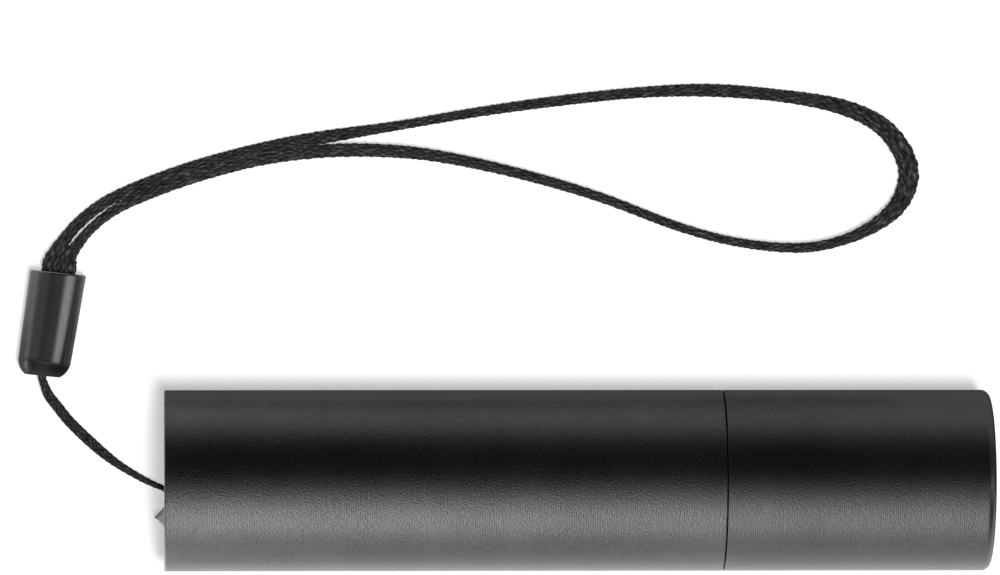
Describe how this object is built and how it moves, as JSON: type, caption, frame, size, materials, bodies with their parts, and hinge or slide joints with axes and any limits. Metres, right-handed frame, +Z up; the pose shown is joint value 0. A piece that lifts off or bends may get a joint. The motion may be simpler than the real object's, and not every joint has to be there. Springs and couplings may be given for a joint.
{
  "type": "zoom flashlight",
  "caption": "Slim cylindrical rechargeable flashlight with a sliding zoom head, tail push button, hidden charging port and a braided wrist strap on a metal ferrule.",
  "frame": {"origin": "middle of the flashlight's footprint on the surface that it lies on, leaving out the lanyard", "axes": "+X along the barrel from tail to head, +Z up, +Y towards the lanyard's side"},
  "size_m": [0.1289, 0.0646, 0.0239],
  "materials": {
    "barrel": "black anodised, fine turned, satin",
    "neck": "black anodised, smooth satin",
    "seal": "matt black",
    "button": "matt black moulded",
    "switch_plastic": "moulded black",
    "circuit_board": "green solder mask",
    "led_board": "white solder mask on aluminium",
    "brass": "turned",
    "nickel": "nickel plated",
    "cell_wrap": "shrink wrap",
    "insulation": "fibre paper",
    "chip": "moulded package",
    "emitter": "phosphor on ceramic",
    "led_dome": "clear silicone dome",
    "lead": "silicone insulated lead",
    "lens": "polished clear lens",
    "ferrule": "polished gunmetal",
    "cord": "fine braided nylon string",
    "strap": "flat braided nylon strap"
  },
  "bodies": {
    "barrel": {"body_tube": "barrel", "tail_cover": "barrel", "tail_seal_ring": "seal", "switch_holder": "switch_plastic", "switch_body": "switch_plastic", "switch_board": "circuit_board", "switch_contact_ring": "brass", "rear_contact_spring": "nickel", "battery_cell": "cell_wrap", "battery_positive_cap": "nickel", "battery_insulator_ring": "insulation", "battery_sleeve": "insulation", "front_contact_spring": "nickel", "neck_tube": "neck", "body_seal_ring": "seal", "board_retaining_ring": "neck", "charge_board": "circuit_board", "usb_c_shell": "nickel", "usb_c_tongue": "switch_plastic", "charge_indicator_led": "emitter", "board_spacer": "switch_plastic", "driver_board": "circuit_board", "driver_inductor": "chip", "driver_controller_chip": "chip", "driver_capacitor": "chip", "led_pill": "brass", "led_board": "led_board", "led_emitter": "emitter", "led_dome": "led_dome", "led_wire_positive": "lead", "led_wire_negative": "lead", "neck_o_ring_rear": "seal", "neck_o_ring_front": "seal", "lanyard_cord": "cord", "lanyard_ferrule": "ferrule", "ferrule_core": "switch_plastic", "wrist_strap": "strap"},
    "head": {"head_sleeve": "barrel", "head_snap_ring": "nickel", "focus_lens": "lens", "lens_seal_ring": "seal", "front_bezel": "barrel"},
    "button": {"tail_button": "button", "switch_plunger": "switch_plastic"}
  },
  "joints": [
    {"name": "head_slide", "type": "slide", "parent": "barrel", "child": "head", "axis": [1, 0, 0], "range_m": [0, 0.008]},
    {"name": "button_press", "type": "slide", "parent": "barrel", "child": "button", "axis": [1, 0, 0], "range_m": [0, 0.0015], "stiffness_N_per_m": 800, "springref_m": -0.001}
  ]
}
